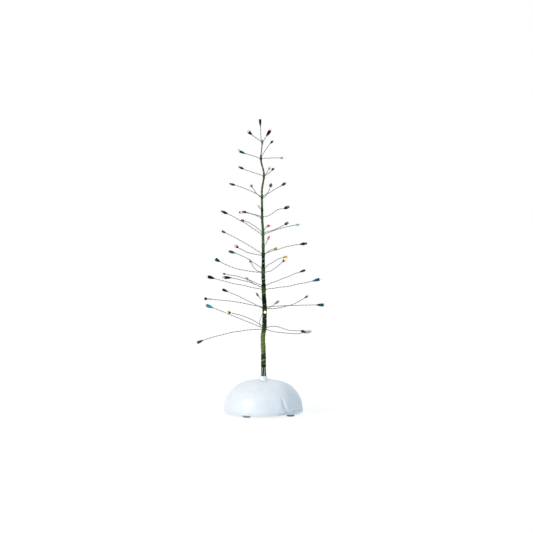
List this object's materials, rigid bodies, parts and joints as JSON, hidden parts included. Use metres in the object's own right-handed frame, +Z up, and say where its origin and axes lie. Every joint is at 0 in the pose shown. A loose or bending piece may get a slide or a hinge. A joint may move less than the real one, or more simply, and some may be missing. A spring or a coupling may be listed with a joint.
{
  "type": "lighted bare wire christmas tree",
  "caption": "Battery-lit bare wire tree: a crooked taped stem, twisted-wire branches tipped with small coloured lamps, and a moulded white snow-mound base on rubber feet.",
  "frame": {"origin": "centre of the base on the surface that the feet stand on", "axes": "+Z up along the tree, +X along the battery bay, +Y towards the door's hinge"},
  "size_m": [0.1322, 0.1228, 0.3048],
  "materials": {
    "snow_plastic": "satin",
    "plate_plastic": "satin",
    "cell_can": "satin",
    "contact_nickel": "satin",
    "switch_plastic": "satin",
    "foot_rubber": "matte",
    "steel": "satin",
    "lead_red_pvc": "satin",
    "lead_black_pvc": "satin",
    "stem_tape": "satin",
    "lamp_wire": "satin",
    "lamp_sleeve": "gloss",
    "bulb_glass": "gloss"
  },
  "bodies": {
    "root": {"base_shell": "snow_plastic", "base_plate": "plate_plastic", "battery_cell_1": "cell_can", "battery_cell_2": "cell_can", "positive_terminal": "contact_nickel", "negative_terminal": "contact_nickel", "bridge_contact": "contact_nickel", "switch_body": "switch_plastic", "foot_1": "foot_rubber", "foot_2": "foot_rubber", "foot_3": "foot_rubber", "foot_4": "foot_rubber", "plate_screw_1": "steel", "plate_screw_2": "steel", "plate_screw_3": "steel", "plate_screw_4": "steel", "stem_retainer": "steel", "stem_core_wire": "steel", "lead_red": "lead_red_pvc", "lead_switched": "lead_red_pvc", "lead_black": "lead_black_pvc", "stem": "stem_tape", "lamp_branch_1a": "lamp_sleeve", "lamp_branch_1b": "lamp_sleeve", "lamp_branch_1c": "lamp_sleeve", "lamp_branch_2a": "lamp_sleeve", "lamp_branch_2b": "lamp_sleeve", "lamp_branch_2c": "lamp_sleeve", "lamp_branch_2d": "lamp_sleeve", "lamp_branch_3a": "lamp_sleeve", "lamp_branch_3b": "lamp_sleeve", "lamp_branch_3c": "lamp_sleeve", "lamp_branch_4a": "lamp_sleeve", "lamp_branch_4b": "lamp_sleeve", "lamp_branch_4c": "lamp_sleeve", "lamp_branch_5a": "lamp_sleeve", "lamp_branch_5b": "lamp_sleeve", "lamp_branch_5c": "lamp_sleeve", "lamp_branch_6a": "lamp_sleeve", "lamp_branch_6b": "lamp_sleeve", "lamp_branch_6c": "lamp_sleeve", "lamp_branch_7a": "lamp_sleeve", "lamp_branch_7b": "lamp_sleeve", "lamp_branch_7c": "lamp_sleeve", "lamp_branch_8a": "lamp_sleeve", "lamp_branch_8b": "lamp_sleeve", "lamp_branch_9a": "lamp_sleeve", "lamp_branch_9b": "lamp_sleeve", "lamp_branch_10a": "lamp_sleeve", "lamp_branch_10b": "lamp_sleeve", "lamp_branch_11a": "lamp_sleeve"},
    "battery_door": {"battery_door": "plate_plastic"},
    "switch_knob": {"switch_knob": "switch_plastic"}
  },
  "joints": [
    {"name": "door_hinge", "type": "hinge", "parent": "root", "child": "battery_door", "pos_m": [0, 0.01395, 0.0036], "axis": [1, 0, 0], "range_deg": [0, 100]},
    {"name": "switch_slide", "type": "slide", "parent": "root", "child": "switch_knob", "axis": [1, 0, 0], "range_m": [0, 0.004]}
  ]
}
